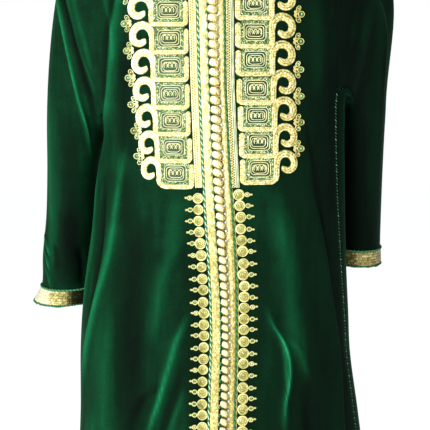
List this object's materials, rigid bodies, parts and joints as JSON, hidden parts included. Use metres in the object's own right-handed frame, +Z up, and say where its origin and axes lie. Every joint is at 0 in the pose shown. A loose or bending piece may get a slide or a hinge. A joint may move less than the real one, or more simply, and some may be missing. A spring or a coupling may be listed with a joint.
{
  "type": "kaftan tunic",
  "caption": "Long velvet kaftan tunic with three-quarter sleeves, buttoned down the front and trimmed with corded gold braid, hollow as worn.",
  "frame": {"origin": "midway between the high points of the two shoulders, where the wearer carries the tunic", "axes": "+Z up, the front with its buttons faces -Y, +X is on the right of a viewer who faces the front"},
  "size_m": [0.5907, 0.2954, 1.0021],
  "materials": {
    "velvet": "deep green velvet with a soft nap",
    "gold_braid": "woven metallic gold thread",
    "pale_gold_cord": "thick couched cord of pale gold thread",
    "green_cord": "twisted rayon cord in light green"
  },
  "bodies": {
    "root": {"front_left": "velvet", "front_right": "velvet", "back": "velvet", "sleeve_left": "velvet", "sleeve_right": "velvet", "neck_binding": "velvet", "cuff_left": "gold_braid", "cuff_right": "gold_braid", "braid_left": "gold_braid", "braid_right": "gold_braid", "chevron_left": "gold_braid", "chevron_right": "gold_braid", "spikes_left": "gold_braid", "spikes_right": "gold_braid", "smooth_braid_right": "pale_gold_cord", "button_row": "pale_gold_cord", "tablet_left_1": "pale_gold_cord", "tablet_left_2": "pale_gold_cord", "tablet_left_3": "pale_gold_cord", "tablet_left_4": "pale_gold_cord", "tablet_left_5": "pale_gold_cord", "tablet_left_6": "pale_gold_cord", "tablet_left_7": "pale_gold_cord", "tablet_left_8": "pale_gold_cord", "tablet_right_1": "pale_gold_cord", "tablet_right_2": "pale_gold_cord", "tablet_right_3": "pale_gold_cord", "tablet_right_4": "pale_gold_cord", "tablet_right_5": "pale_gold_cord", "tablet_right_6": "pale_gold_cord", "tablet_right_7": "pale_gold_cord", "tablet_right_8": "pale_gold_cord", "cuff_cord_upper_left": "green_cord", "cuff_cord_lower_left": "green_cord", "cuff_cord_upper_right": "green_cord", "cuff_cord_lower_right": "green_cord", "cord_left": "green_cord", "cord_right": "green_cord", "side_stitch_left": "green_cord", "side_stitch_right": "green_cord"}
  },
  "joints": []
}
